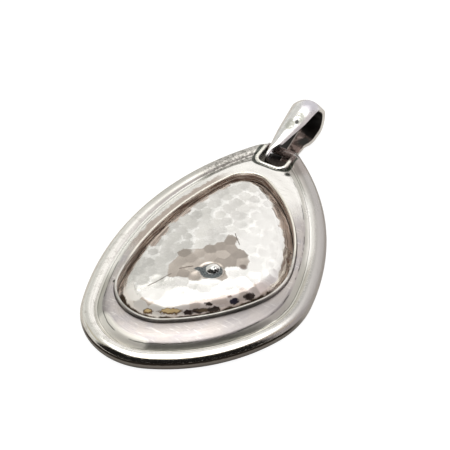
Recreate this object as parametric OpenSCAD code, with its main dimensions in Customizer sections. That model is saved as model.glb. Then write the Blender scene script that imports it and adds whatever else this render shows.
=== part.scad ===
// Hammered silver pendant, lying on its back, in millimetres.
// The origin is on the back face, below the line of the bail, midway along the frame.
// +X is to the right, +Y points to the bail and +Z out of the hammered front.

/* [Outline] */
// Centre of the lower left round of the frame, across
heel_x = 0.2; // [0:0.05:0.4]
// Centre of the lower left round of the frame, along
heel_y = -15.4; // [-15.6:0.05:-15.2]
// Radius of the lower left round
heel_r = 11.2; // [11:0.05:11.4]
// Centre of the right round of the frame, across
belly_x = 5.8; // [5.6:0.05:6]
// Centre of the right round of the frame, along
belly_y = -5.3; // [-5.5:0.05:-5.1]
// Radius of the right round
belly_r = 14.6; // [14.4:0.05:14.8]
// Centre of the round at the tip, along
tip_y = 20.8; // [20.7:0.05:20.9]
// Radius of the round at the tip
tip_r = 5.7; // [5.65:0.05:5.8]
// Radius of the bottom side between heel and belly
bottom_side_r = 28; // [27.5:0.5:30]
// Radius of the right side between belly and tip
right_side_r = 44.5; // [44:0.5:46]
// Radius of the left side between tip and heel
left_side_r = 46; // [45.5:0.5:48]

/* [Rim and band] */
// Radius of the round bar that the rim is made like
rim_r = 1.35; // [1.3:0.05:1.4]
// Height of the middle of that bar above the back face
rim_z = 1.2; // [1.15:0.05:1.25]
// Height of the floor of the groove
groove_z = 2.15; // [2.1:0.05:2.2]
// Distance from the outer edge to the wall of the inner band
band_edge = 3.35; // [3.3:0.05:3.4]
// Height of the inner band where it meets the bezel
band_z = 3.05; // [3:0.05:3.1]
// Radius of the band's gently rounded top, seen in section
band_round = 11.7; // [11:0.1:12.5]

/* [Bezel and back] */
// Centre of the lower left round of the bezel, across
bezel_heel_x = -0.3; // [-0.35:0.05:-0.25]
// Centre of the lower left round of the bezel, along
bezel_heel_y = -12.1; // [-12.2:0.05:-12]
// Radius of the lower left round of the bezel
bezel_heel_r = 7.3; // [7.2:0.05:7.4]
// Centre of the right round of the bezel, across
bezel_belly_x = 5; // [4.95:0.05:5.05]
// Centre of the right round of the bezel, along
bezel_belly_y = -2.5; // [-2.6:0.05:-2.4]
// Radius of the right round of the bezel
bezel_belly_r = 10.5; // [10.4:0.05:10.6]
// Centre of the upper round of the bezel, across
bezel_tip_x = 0.4; // [0.35:0.05:0.45]
// Centre of the upper round of the bezel, along
bezel_tip_y = 12.2; // [12.1:0.05:12.3]
// Radius of the upper round of the bezel
bezel_tip_r = 4.6; // [4.5:0.05:4.7]
// Radius of the bottom side of the bezel
bezel_bottom_r = 30; // [29:0.5:31]
// Radius of the right side of the bezel
bezel_right_r = 26; // [25.5:0.5:27]
// Radius of the left side of the bezel
bezel_left_r = 45; // [44:0.5:46]
// Thickness of the bezel strip
bezel_t = 0.4; // [0.35:0.05:0.5]
// Height of the top of the bezel
bezel_z = 3.7; // [3.6:0.05:3.8]
// Thickness of the back plate
back_t = 0.6; // [0.5:0.05:0.7]

/* [Hammered dome] */
// Gap between the hammered plate and the bezel
dome_gap = 0.15; // [0.12:0.01:0.2]
// Thickness of the hammered plate
dome_t = 0.8; // [0.7:0.05:0.9]
// Height of the top of the plate at its edge
dome_edge_z = 1.9; // [1.8:0.05:2]
// Height of the top of the plate at its crown
dome_top_z = 5; // [4.8:0.1:5.2]
// Number of hammer blows
blow_count = 150; // [100:10:180]
// Smallest and largest radius of a blow's dent
blow_r_min = 1.0; // [0.9:0.05:1.1]
blow_r_max = 1.7; // [1.5:0.05:1.8]
// Depth of the deepest dent
blow_depth = 0.16; // [0.1:0.01:0.2]
// Number that fixes where the blows fall
blow_seed = 7; // [1:1:20]

/* [Bail hole] */
// Width of the hole for the bail
hole_w = 4.7; // [4.6:0.05:4.8]
// Lower end of the hole
hole_y0 = 20.6; // [20.55:0.05:20.7]
// Where the legs of the wire collar end
collar_end_y = 24.2; // [24.15:0.05:24.25]
// Radius of the hole's corners
hole_round = 1.2; // [1.1:0.05:1.3]
// Diameter of the wire collar round the hole
collar_d = 0.7; // [0.6:0.05:0.75]
// Height of the middle of the collar wire
collar_z = 2.4; // [2.35:0.05:2.45]
// Radius of the bar that the bail hangs on
bar_r = 0.7; // [0.65:0.05:0.75]
// Height of the middle of that bar
bar_z = 1.7; // [1.65:0.05:1.75]

/* [Bail] */
// Place of the small round of the loop, along
loop_small_y = 23; // [22.9:0.05:23.1]
// Height of the small round's middle
loop_small_z = 1.85; // [1.8:0.05:1.9]
// Outer radius of the small round
loop_small_r = 1.65; // [1.6:0.05:1.7]
// Thickness of the strip at the small round
loop_small_t = 0.5; // [0.45:0.05:0.5]
// Place of the large round of the loop, along
loop_large_y = 33.3; // [33:0.05:33.6]
// Height of the large round's middle
loop_large_z = 3.15; // [3.1:0.05:3.2]
// Outer radius of the large round
loop_large_r = 2.9; // [2.8:0.05:2.95]
// Thickness of the strip at the large round
loop_large_t = 0.75; // [0.7:0.05:0.85]
// Width of the strip at the small round
strip_w_small = 2.8; // [2.7:0.05:2.9]
// Width of the strip at the large round
strip_w_large = 3.8; // [3.6:0.05:3.9]
// Lean of the loop to its left, in degrees
bail_lean = 5; // [0:0.5:5]

/* [Hidden] */
silver = [0.80, 0.78, 0.75];
polished = [0.88, 0.87, 0.85];
hammered = [0.84, 0.82, 0.79];
cut = 10;
// Each outline is three rounds, heel, belly and tip, joined by three sides.
// A row is centre across, centre along, radius of the round, radius of the side that follows it.
frame_line = [
    [heel_x, heel_y, heel_r, bottom_side_r],
    [belly_x, belly_y, belly_r, right_side_r],
    [0, tip_y, tip_r, left_side_r]
];
bezel_line = [
    [bezel_heel_x, bezel_heel_y, bezel_heel_r, bezel_bottom_r],
    [bezel_belly_x, bezel_belly_y, bezel_belly_r, bezel_right_r],
    [bezel_tip_x, bezel_tip_y, bezel_tip_r, bezel_left_r]
];
bar_y = tip_y + tip_r - rim_r;
bar_half = hole_w / 2;
bar_seat = 0.3;
// The collar wire hangs this far over the edge of the hole.
collar_lap = 0.08;
// The band stands at least this far above the floor of the groove.
band_step = 0.15;
dome_inset = bezel_t + dome_gap;
dome_under_z = back_t + dome_gap;
frame_steps = 14;
rim_steps = 12;
band_steps = 6;
dome_steps = 15;

function centre(row) = [row[0], row[1]];
function direction(v) = atan2(v[1], v[0]);
function turn(from, to) = (to - from + 720) % 360;
// The side after round i touches that round and the next one, so its centre lies at the
// difference of the radii from both.
function side_centre(line, i) =
    let (
        a = line[i],
        b = line[(i + 1) % 3],
        from_a = a[3] - a[2],
        from_b = a[3] - b[2],
        d = centre(b) - centre(a),
        gap = norm(d),
        along = (from_a ^ 2 - from_b ^ 2 + gap ^ 2) / (2 * gap),
        aside = sqrt(from_a ^ 2 - along ^ 2)
    )
    centre(a) + d / gap * along + [-d[1], d[0]] / gap * aside;
// Direction, from a round's centre, at which the side before or after it begins
function side_end(line, i, side) = direction(centre(line[i]) - side_centre(line, side));
// The six arcs of an outline, each as centre, radius, first direction and angle
function arcs(line) = [
    for (i = [0:2])
        let (
            before = side_end(line, i, (i + 2) % 3),
            after = side_end(line, i, i),
            next = side_end(line, (i + 1) % 3, i)
        )
        each [
            [centre(line[i]), line[i][2], before, turn(before, after)],
            [side_centre(line, i), line[i][3], after, turn(after, next)]
        ]
];
// Points of an outline set inwards, with the same number of steps on each arc
function outline_points(line, inset, steps) = [
    for (arc = arcs(line))
        for (k = [0:steps - 1])
            let (at = arc[2] + arc[3] * k / steps)
            arc[0] + (arc[1] - inset) * [cos(at), sin(at)]
];

// How far a point lies outside an outline that is given by its arcs
function away(p, arc_list) = max([
    for (arc = arc_list)
        let (v = p - arc[0])
        if (turn(arc[2], direction(v)) <= arc[3] + 0.001) norm(v) - arc[1]
]);
function at_height(points, z) = [for (p = points) [p[0], p[1], z]];

// A closed solid skinned over rings with equally many points. The rings run from the cap
// underneath, outwards and up, to the cap on top.
module skinned(rings) {
    n = len(rings[0]);
    last = len(rings) - 1;
    sides = [
        for (i = [0:last - 1], k = [0:n - 1])
            let (a = i * n + k, b = i * n + (k + 1) % n)
            each [[a, a + n, b + n], [a, b + n, b]]
    ];
    caps = [
        [for (k = [0:n - 1]) k],
        [for (k = [n - 1:-1:0]) last * n + k]
    ];
    polyhedron(points = [for (ring = rings) each ring], faces = concat(sides, caps));
}

// The rim is a round bar, cut off by the back face below and by the groove's floor inside.
rim_foot = -asin(rim_z / rim_r);
rim_end = 180 - asin((groove_z - rim_z) / rim_r);
function frame_points(inset) = outline_points(frame_line, inset, frame_steps);
rim_rings = [
    for (k = [0:rim_steps])
        let (at = rim_foot + (rim_end - rim_foot) * k / rim_steps)
        at_height(frame_points(rim_r * (1 - cos(at))), rim_z + rim_r * sin(at))
];
// The band's top is the crown of a large circle, so it falls away as it leaves the bezel.
bezel_arcs = arcs(bezel_line);
band_outer = frame_points(band_edge);
band_inner = outline_points(bezel_line, 0, frame_steps);
function band_top(out) = band_z - band_round + sqrt(band_round ^ 2 - out ^ 2);
band_rings = [
    for (k = [0:band_steps])
        [
            for (i = [0:len(band_outer) - 1])
                let (p = band_outer[i] + (band_inner[i] - band_outer[i]) * k / band_steps)
                [p[0], p[1], max(groove_z + band_step, band_top(away(p, bezel_arcs)))]
        ]
];
// The bezel is a thin upright strip, and inside it the back plate is the floor of the seat.
bezel_inside = outline_points(bezel_line, bezel_t, frame_steps);
bezel_rings = [
    at_height(band_inner, bezel_z),
    at_height(bezel_inside, bezel_z),
    at_height(bezel_inside, back_t)
];

// The opening for the bail: two round corners below, and open through the tip above
module bail_opening() {
    far_y = tip_y + tip_r + 1;
    corner_x = hole_w / 2 - hole_round;
    corner_y = hole_y0 + hole_round;
    translate([0, 0, -1])
        linear_extrude(cut)
            polygon(concat(
                [for (at = [-90:10:0]) [corner_x + hole_round * cos(at), corner_y + hole_round * sin(at)]],
                [[hole_w / 2, far_y], [-hole_w / 2, far_y]],
                [for (at = [180:10:270]) [hole_round * cos(at) - corner_x, corner_y + hole_round * sin(at)]]
            ));
}

// A wire bent like a U: two legs, two round corners and the straight across the bottom.
module collar() {
    aside = collar_d / 2 - collar_lap;
    leg_x = hole_w / 2 + aside;
    foot_y = hole_y0 - aside;
    bend_r = hole_round + aside;
    leg_len = collar_end_y - foot_y - bend_r;
    translate([0, foot_y + bend_r, collar_z]) {
        for (x = [-1, 1])
            translate([x * leg_x, 0, 0])
                rotate([-90, 0, 0])
                    cylinder(d = collar_d, h = leg_len, $fn = 24);
        translate([leg_x - bend_r, 0, 0])
            rotate([0, 0, -90])
                rotate_extrude(angle = 90, $fn = 48)
                    translate([bend_r, 0]) circle(d = collar_d, $fn = 24);
        translate([bend_r - leg_x, 0, 0])
            rotate([0, 0, 180])
                rotate_extrude(angle = 90, $fn = 48)
                    translate([bend_r, 0]) circle(d = collar_d, $fn = 24);
        translate([bend_r - leg_x, -bend_r, 0])
            rotate([0, 90, 0])
                cylinder(d = collar_d, h = 2 * (leg_x - bend_r), $fn = 24);
    }
}

// The tip is cut free over the width of the hole, and a round bar crosses the cut.
module frame() {
    color(silver)
        union() {
            difference() {
                skinned(concat(rim_rings, [at_height(band_outer, groove_z)], band_rings, bezel_rings));
                bail_opening();
            }
            collar();
            translate([-bar_half - bar_seat, bar_y, bar_z])
                rotate([0, 90, 0])
                    cylinder(r = bar_r, h = 2 * (bar_half + bar_seat), $fn = 48);
        }
}

// Blows fall at random inside a box round the bezel, each with its own size and depth.
blows_x = rands(-11, 16, blow_count, blow_seed);
blows_y = rands(-19, 17, blow_count, blow_seed + 1);
blows_r = rands(blow_r_min, blow_r_max, blow_count, blow_seed + 2);
function dent(p) =
    max([
        for (i = [0:blow_count - 1])
            let (far = norm(p - [blows_x[i], blows_y[i]]) / blows_r[i])
            far < 1 ? (1 - far ^ 2) * blows_r[i] / blow_r_max : 0
    ]) * blow_depth;
// The plate rises steeply behind the bezel and is nearly flat on top.
// Share of the way from the edge to the middle, 0 to 1, gives the share of the rise.
function crown(share) = 0.72 * (1 - (1 - min(share / 0.22, 1)) ^ 2) + 0.28 * (1 - (1 - share) ^ 2);
dome_middle = [2.2, -2.5];
top_shares = [0, 0.02, 0.045, 0.075, 0.11, 0.15, for (k = [1:18]) 0.15 + 0.83 * k / 18];
under_shares = [0, 0.08, 0.2, 0.5, 0.9];
function dome_ring(share, under) = [
    for (p = outline_points(bezel_line, dome_inset, dome_steps))
        let (
            q = p + (dome_middle - p) * share,
            z = dome_edge_z + (dome_top_z - dome_edge_z) * crown(share)
        )
        under
            ? [q[0], q[1], max(dome_under_z, z - dome_t - blow_depth)]
            : [q[0], q[1], z - dent(q)]
];

module hammered_dome() {
    top = [for (share = top_shares) dome_ring(share, false)];
    below = [for (share = under_shares) dome_ring(share, true)];
    color(hammered)
        skinned(concat([for (i = [len(below) - 1:-1:0]) below[i]], top));
}

// Two rounds joined by straight legs, seen from the side: x is along, y is up.
module loop_side(inset_small, inset_large) {
    hull() {
        translate([loop_small_y, loop_small_z]) circle(r = loop_small_r - inset_small, $fn = 48);
        translate([loop_large_y, loop_large_z]) circle(r = loop_large_r - inset_large, $fn = 72);
    }
}

module bail() {
    y0 = loop_small_y - loop_small_r - 1;
    y1 = loop_large_y + loop_large_r + 1;
    grow = (strip_w_large - strip_w_small) / 2 / (loop_large_y - loop_small_y);
    half0 = strip_w_small / 2 - grow * (loop_small_y - y0);
    half1 = strip_w_large / 2;
    color(polished)
        translate([0, bar_y, bar_z])
            rotate([0, -bail_lean, 0])
                translate([0, -bar_y, -bar_z])
                    intersection() {
                        rotate([90, 0, 90])
                            translate([0, 0, -strip_w_large])
                                linear_extrude(2 * strip_w_large)
                                    difference() {
                                        loop_side(0, 0);
                                        loop_side(loop_small_t, loop_large_t);
                                    }
                        translate([0, 0, -1])
                            linear_extrude(cut)
                                polygon([
                                    [-half0, y0], [half0, y0], [half1, loop_large_y], [half1, y1],
                                    [-half1, y1], [-half1, loop_large_y]
                                ]);
                    }
}

frame();
hammered_dome();
bail();
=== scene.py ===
# %% [markdown]
# A hammered silver pendant, lying on its back on a pale table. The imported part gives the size
# and place of everything. Each of its three solids is modelled again here with more surface
# detail, in the same place, and hides the plain solid that it stands for.

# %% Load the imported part
import math
import random

import bpy
import numpy as np
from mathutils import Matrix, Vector, noise


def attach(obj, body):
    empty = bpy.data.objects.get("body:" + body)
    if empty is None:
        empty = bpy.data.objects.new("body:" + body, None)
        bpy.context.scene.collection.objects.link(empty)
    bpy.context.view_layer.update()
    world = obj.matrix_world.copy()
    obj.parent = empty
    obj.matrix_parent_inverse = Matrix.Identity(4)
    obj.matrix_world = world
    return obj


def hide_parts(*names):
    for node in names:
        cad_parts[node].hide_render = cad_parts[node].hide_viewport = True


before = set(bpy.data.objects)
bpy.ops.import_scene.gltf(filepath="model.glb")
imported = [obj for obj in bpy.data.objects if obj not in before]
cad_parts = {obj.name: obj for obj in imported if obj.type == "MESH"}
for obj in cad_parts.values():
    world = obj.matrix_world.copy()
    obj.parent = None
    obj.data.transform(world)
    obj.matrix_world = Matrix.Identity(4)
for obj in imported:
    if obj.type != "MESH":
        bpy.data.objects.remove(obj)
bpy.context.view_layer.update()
MM = 0.001

# %% [markdown]
# The photograph looks down at 45 degrees, from the pendant's lower right. A long lens far
# away keeps the outline nearly free of perspective. The camera aims a little past the middle
# of the pendant, because the photograph has it left of centre and low.

# %% Camera
VIEW_TURN = math.radians(30.5)
VIEW_DOWN = math.radians(45)
VIEW_DISTANCE = 280 * MM
FOCAL_PX = 1820
FRAME_PX = 450
CENTRE = Vector((1.8, -3.0, 1.5)) * MM
CENTRE_PX = (205, 262)

forward = Vector((
    -math.sin(VIEW_TURN) * math.cos(VIEW_DOWN),
    math.cos(VIEW_TURN) * math.cos(VIEW_DOWN),
    -math.sin(VIEW_DOWN),
))
right = Vector((math.cos(VIEW_TURN), math.sin(VIEW_TURN), 0))
up = right.cross(forward)
# The photograph's right and up, as directions on the table
photo_right = np.array([right.x, right.y])
photo_up = np.array([-right.y, right.x])
px = VIEW_DISTANCE / FOCAL_PX
aim = CENTRE + right * (FRAME_PX / 2 - CENTRE_PX[0]) * px - up * (FRAME_PX / 2 - CENTRE_PX[1]) * px

bpy.ops.object.camera_add(location=CENTRE - forward * VIEW_DISTANCE)
camera = bpy.context.object
camera.rotation_euler = (aim - camera.location).to_track_quat("-Z", "Y").to_euler()
camera.data.sensor_width = 36
camera.data.lens = camera.data.sensor_width * FOCAL_PX / FRAME_PX
camera.data.clip_start = 10 * MM
bpy.context.scene.camera = camera
print("lens", round(camera.data.lens, 1), "mm")

# %% [markdown]
# The outline of the pendant is three rounds joined by three flatter sides, and so is the
# outline of the raised plate. The numbers are the ones that the solid was made with. Each
# outline becomes six arcs, which the spin tool can follow one after another.

# %% The two outlines
# A row is centre across, centre along, radius of the round, radius of the side after it.
FRAME_LINE = [(0.2, -15.4, 11.2, 28), (5.8, -5.3, 14.6, 44.5), (0, 20.8, 5.7, 46)]
BEZEL_LINE = [(-0.3, -12.1, 7.3, 30), (5, -2.5, 10.5, 26), (0.4, 12.2, 4.6, 45)]
ARC_STEPS = 40


def direction(v):
    return math.atan2(v.y, v.x)


def side_centre(a, b):
    """The centre of the side that touches round a and round b."""
    pa, pb = Vector(a[:2]), Vector(b[:2])
    from_a, from_b = a[3] - a[2], a[3] - b[2]
    d = pb - pa
    along = (from_a ** 2 - from_b ** 2 + d.length_squared) / (2 * d.length)
    aside = math.sqrt(from_a ** 2 - along ** 2)
    return pa + d.normalized() * along + Vector((-d.y, d.x)).normalized() * aside


def arcs(line):
    """Six arcs as (centre, radius, first direction, angle), in millimetres."""
    sides = [side_centre(line[i], line[(i + 1) % 3]) for i in range(3)]
    found = []
    for i in range(3):
        here, after = Vector(line[i][:2]), Vector(line[(i + 1) % 3][:2])
        first = direction(here - sides[i - 1])
        second = direction(here - sides[i])
        third = direction(after - sides[i])
        found.append((here, line[i][2], first, (second - first) % math.tau))
        found.append((sides[i], line[i][3], second, (third - second) % math.tau))
    return found


frame_arcs = arcs(FRAME_LINE)
bezel_arcs = arcs(BEZEL_LINE)


def away(x, y, arc_list):
    """How far a point lies outside an outline, in millimetres."""
    best = -math.inf
    for centre, radius, first, angle in arc_list:
        v = Vector((x, y)) - centre
        if (direction(v) - first) % math.tau <= angle + 1e-5:
            best = max(best, v.length - radius)
    return best


print("frame turns", round(sum(math.degrees(a[3]) for a in frame_arcs)), "degrees in six arcs")

# %% [markdown]
# The table, the room and the finishes are made of shader nodes. A few helpers keep them readable.
# They add nodes to the tree in work and give back the socket that holds the result.

# %% Helpers for nodes
def add_node(kind, inputs=None, result=0, **settings):
    """Adds a shader node. Its inputs are sockets, numbers, places or colours."""
    node = tree.nodes.new("ShaderNode" + kind)
    for name, value in settings.items():
        setattr(node, name, value)
    for key, value in (inputs or {}).items():
        socket = node.inputs[key]
        if isinstance(value, bpy.types.NodeSocket):
            tree.links.new(value, socket)
        else:
            socket.default_value = (*value, 1) if socket.type == "RGBA" else value
    return node.outputs[result] if node.outputs else None


def maths(operation, *values, clamp=False):
    """A Math node whose inputs are sockets or numbers."""
    return add_node("Math", dict(enumerate(values)), operation=operation, use_clamp=clamp)


def in_turn(operation, first, others):
    """Works through the values from left to right."""
    for other in others:
        first = maths(operation, first, other)
    return first


def plus(first, *others):
    return in_turn("ADD", first, others)


def times(first, *others):
    return in_turn("MULTIPLY", first, others)


def most(first, *others):
    return in_turn("MAXIMUM", first, others)


def minus(a, b, clamp=False):
    return maths("SUBTRACT", a, b, clamp=clamp)


def ramp(value, low, high, out_low=0.0, out_high=1.0, curve="SMOOTHSTEP"):
    """Maps a value from low..high to out_low..out_high, held at both ends."""
    limits = {"From Min": low, "From Max": high, "To Min": out_low, "To Max": out_high}
    return add_node("MapRange", {"Value": value, **limits}, interpolation_type=curve)


def mix(share, a, b):
    """A Mix node between two colours, each a socket or a tuple."""
    return add_node("Mix", {0: share, 6: a, 7: b}, 2, data_type="RGBA")


def coats(colour, *layers):
    """Lays coats over a colour. Each is the share it covers, its colour and, if thin, its strength."""
    for share, coat, *strength in layers:
        colour = mix(times(share, *strength), colour, coat)
    return colour


def axes(vector, names="XYZ"):
    """The named parts of a vector."""
    x = add_node("SeparateXYZ", {0: vector})
    return [x.node.outputs[name] for name in names]


def length(vector):
    return add_node("VectorMath", {0: vector}, "Value", operation="LENGTH")


def scaled(vector, scale, turn=(0, 0, 0), move=(0, 0, 0)):
    """The same place on axes that are scaled, turned in degrees and moved."""
    turn = [math.radians(t) for t in turn]
    return add_node("Mapping", {0: vector, "Scale": scale, "Rotation": turn, "Location": move})


def new_material(name):
    """A new material, whose node tree becomes the tree in work."""
    global tree
    material = bpy.data.materials.new(name)
    material.use_nodes = True
    tree = material.node_tree
    return material


# %% [markdown]
# The table is one pale sheet. It is a stage piece, so it is no part of the pendant, and it
# lies a hair below the back face, so that the two never share a plane. The photograph shows it
# as pure white with hardly a shadow, yet the silver mirrors a much darker table. So the sheet
# glows for the camera alone, and the silver sees a plain grey one. Under the bail's hole it
# doesn't glow, because there the pendant keeps the light off it.

# %% Table
TABLE_SIZE = 1600
TABLE_Z = -0.02
TABLE_GLOW = 0.95
TABLE_SHADE = (0.15, 0.15, 0.15)
TABLE_GREY = (0.6, 0.576, 0.54)
# The round place that doesn't glow: centre across, centre along, radius and soft edge
HOLE_SHADE = (-0.6, 23.4, 2.9, 0.1)

bpy.ops.mesh.primitive_plane_add(size=TABLE_SIZE * MM, location=(0, 0, TABLE_Z * MM))
table = bpy.context.object
table.name = "table"
table_paint = new_material("table_white")
tree.nodes.clear()
table_place = add_node("TexCoord", result="Object")
hole_x, hole_y, hole_r, soft = HOLE_SHADE
from_hole = length(scaled(table_place, (1 / MM, 1 / MM, 0), move=(-hole_x, -hole_y, 0)))
shining = ramp(from_hole, hole_r - soft, hole_r, 0, TABLE_GLOW, "LINEAR")
glow = add_node("Emission", {"Strength": shining})
shade = add_node("BsdfDiffuse", {"Color": TABLE_SHADE})
seen_white = add_node("AddShader", {0: glow, 1: shade})
mirrored = add_node("BsdfDiffuse", {"Color": TABLE_GREY})
for_camera = add_node("LightPath", result="Is Camera Ray")
sheet = add_node("MixShader", {0: for_camera, 1: mirrored, 2: seen_white})
add_node("OutputMaterial", {0: sheet})
table.data.materials.append(table_paint)
print("table at", TABLE_Z, "mm")

# %% [markdown]
# Polished silver has hardly any colour of its own: it shows the room. The room here is a
# studio with a white far wall, greyer walls to the left and right, and a lamp overhead. Its
# near side is dark, from the table up to high overhead. That dark side draws the black line
# along the front of the rim, and the lamp draws the white line above it.

# %% Room light
# A turn is a direction over the table, and a top or a height is an angle above it
DARK_TURN = math.radians(-71.5)
DARK_HALF = math.radians(73)
DARK_TOP = math.radians(60)
# Softness of the dark side: at its ends, as a cosine, and at its top, in radians
DARK_BLUR = (0.08, 0.12)
LEFT_TURN = math.radians(180)
# The heights at which the lamp begins and at which it is at its brightest
LAMP_FROM = math.radians(52)
LAMP_FULL = math.radians(72)
FAR_WALL = (1.12, 1.1, 1.07)
LEFT_WALL = (0.74, 0.74, 0.70)
RIGHT_WALL = (0.62, 0.56, 0.57)
CLUTTER = (0.45, 0.43, 0.41)
LAMP = (3.0, 2.95, 2.85)
DARKNESS = (0.01, 0.009, 0.008)

world = bpy.data.worlds.new("studio")
bpy.context.scene.world = world
world.use_nodes = True
tree = world.node_tree
tree.nodes.clear()
look = add_node("TexCoord", result="Generated")
look_x, look_y, look_z = axes(look)
level = maths("ARCSINE", look_z)
flat = maths("MAXIMUM", maths("SQRT", minus(1, maths("POWER", look_z, 2))), 0.001)


def towards(turn):
    """1 where the look is towards a compass direction, -1 where it is away from it."""
    return maths("DIVIDE", plus(times(look_x, math.cos(turn)), times(look_y, math.sin(turn))), flat)


dark_edge = math.cos(DARK_HALF)
in_sector = ramp(towards(DARK_TURN), dark_edge - DARK_BLUR[0], dark_edge + DARK_BLUR[0])
below = ramp(level, DARK_TOP - DARK_BLUR[1], DARK_TOP + DARK_BLUR[1], 1, 0)
clutter = add_node("TexNoise", {"Vector": look, "Scale": 4.5, "Detail": 2})
seen_room = coats(
    FAR_WALL,
    (ramp(towards(LEFT_TURN), 0.2, 0.9), LEFT_WALL),
    (ramp(towards(LEFT_TURN + math.pi), 0.35, 0.95), RIGHT_WALL),
    (ramp(clutter, 0.4, 0.6, 0.0, 0.35), CLUTTER),
    (ramp(level, LAMP_FROM, LAMP_FULL), LAMP),
    (times(in_sector, below), DARKNESS),
)
add_node("OutputWorld", {0: add_node("Background", {0: seen_room})})
bpy.context.scene.view_settings.view_transform = "Standard"
print("room is dark over", round(math.degrees(2 * DARK_HALF)), "degrees round")

# %% [markdown]
# The frame is a round rim, a groove, a gently crowned band and an upright bezel strip. A
# jeweller solders it from wire and sheet, and the section stays the same all the way round.
# So it could be cut by hand from a disc, or lofted, but the nearest thing to the real work is
# to draw the section once, vertex by vertex, and to spin it round the six arcs in turn.

# %% Draw a section and spin it round
# Points nearer to each other than this become one
SEAM = 0.003


def object_mode():
    bpy.ops.object.mode_set(mode="OBJECT")


def edit_mode():
    bpy.ops.object.mode_set(mode="EDIT")


def select_every_point():
    bpy.ops.mesh.select_all(action="SELECT")


def only(piece):
    """Selects one piece and makes it the active one."""
    bpy.ops.object.select_all(action="DESELECT")
    piece.select_set(True)
    bpy.context.view_layer.objects.active = piece


def lift(distance):
    """Extrudes what is selected upwards by a distance in millimetres."""
    bpy.ops.mesh.extrude_region_move(TRANSFORM_OT_translate={"value": (0, 0, distance * MM)})


def start_piece(name, point):
    """A new mesh that is a single selected vertex, in edit mode."""
    bpy.ops.mesh.primitive_plane_add(size=MM)
    piece = bpy.context.object
    piece.name = piece.data.name = name
    edit_mode()
    bpy.ops.mesh.select_mode(type="VERT")
    select_every_point()
    bpy.ops.mesh.merge(type="CENTER")
    bpy.ops.transform.translate(value=point)
    return piece


def extrude_along(points):
    """Extrudes the selected vertex from each point to the next."""
    for here, there in zip(points, points[1:]):
        bpy.ops.mesh.extrude_region_move(TRANSFORM_OT_translate={"value": there - here})


def place(arc_list, inside, height):
    """A point of the section at the outline's first place: inside is the distance in."""
    centre, radius, first, angle = arc_list[0]
    reach = radius - inside
    return Vector((centre.x + reach * math.cos(first), centre.y + reach * math.sin(first), height)) * MM


def spin_round(arc_list, steps):
    """Spins the selected section round all six arcs and closes the seam."""
    for centre, radius, first, angle in arc_list:
        middle = (centre.x * MM, centre.y * MM, 0)
        bpy.ops.mesh.spin(steps=steps, angle=angle, center=middle, axis=(0, 0, -1))
    select_every_point()
    bpy.ops.mesh.remove_doubles(threshold=SEAM * MM)


def swept_piece(name, arc_list, section, steps):
    """A piece made by spinning a section, a list of (distance in, height) in millimetres."""
    points = [place(arc_list, inside, height) for inside, height in section]
    piece = start_piece(name, points[0])
    extrude_along(points)
    select_every_point()
    spin_round(arc_list, steps)
    object_mode()
    return piece


# %% Rim and groove
RIM_R = 1.35
RIM_Z = 1.2
RIM_POINTS = 36
GROOVE_POINTS = 8
GROOVE_Z = 1.5
BAND_EDGE = 3.35
BAND_Z = 3.05

rim_foot = -math.asin(RIM_Z / RIM_R)
rim_end = math.pi - math.asin((GROOVE_Z - RIM_Z) / RIM_R)
rim_section = [
    (RIM_R * (1 - math.cos(at)), RIM_Z + RIM_R * math.sin(at))
    for at in np.linspace(rim_foot, rim_end, RIM_POINTS)
]
groove_at = rim_section[-1][0]
rim_section += [(inside, GROOVE_Z) for inside in np.linspace(groove_at, BAND_EDGE, GROOVE_POINTS)[1:]]
rim = swept_piece("silver_frame", frame_arcs, rim_section, ARC_STEPS)
print("rim:", len(rim.data.polygons), "faces")

# %% [markdown]
# The bezel is a strip of thin sheet standing on edge. Its top was rubbed down over the plate,
# so both of its edges are rounded, and a narrow crease is left where it meets the band. The
# section starts at the foot outside and ends at the seat of the plate inside.

# %% Bezel strip
BEZEL_T = 0.4
BEZEL_Z = 3.7
BACK_T = 0.6
CREASE = 0.14

bezel_section = [
    (-CREASE, BAND_Z), (-0.05, BAND_Z - 0.08), (0, BAND_Z - 0.02), (0, BEZEL_Z - 0.16),
    (0.03, BEZEL_Z - 0.07), (0.09, BEZEL_Z - 0.02), (0.17, BEZEL_Z), (0.25, BEZEL_Z),
    (0.32, BEZEL_Z - 0.03), (0.37, BEZEL_Z - 0.08), (BEZEL_T, BEZEL_Z - 0.18), (BEZEL_T, 2.6),
    (BEZEL_T, BACK_T),
]
bezel = swept_piece("bezel", bezel_arcs, bezel_section, ARC_STEPS)
print("bezel:", len(bezel.data.polygons), "faces")

# %% [markdown]
# Between the rim's inner edge and the bezel's outer edge lies the band. Both edges have the
# same number of points, so the bridge tool can join them with a few rings between. The rings
# are then lifted to the crown of a large circle, which is how a sheet looks after it has been
# pressed over a form, and its shoulder is rounded down into the groove. That shoulder matters:
# where it faces the dark side of the room, it draws the dark line inside the rim. The groove is
# shallow all round but for the near side, where its floor falls. The underside and the seat of
# the plate are closed with a face each.

# %% Bridge the band and close the underside
BAND_CUTS = 12
BAND_ROUND = 11.7
SHOULDER = 1.15
SHOULDER_CURVE = 1.6
SHALLOW_Z = 2.1
# How near the photograph's lower side the groove's floor starts to fall, and where it is down
FALL = (16.5, 20.5)


def select_vertices(piece, chosen):
    """Selects the vertices for which chosen is true, from object mode."""
    edit_mode()
    bpy.ops.mesh.select_mode(type="VERT")
    bpy.ops.mesh.select_all(action="DESELECT")
    object_mode()
    piece.data.vertices.foreach_set("select", chosen)
    edit_mode()


def coordinates(piece):
    """The mesh's points in millimetres."""
    co = np.empty(len(piece.data.vertices) * 3)
    piece.data.vertices.foreach_get("co", co)
    return co.reshape(-1, 3) / MM


def set_coordinates(piece, points):
    piece.data.vertices.foreach_set("co", (points * MM).ravel())
    piece.data.update()


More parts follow.
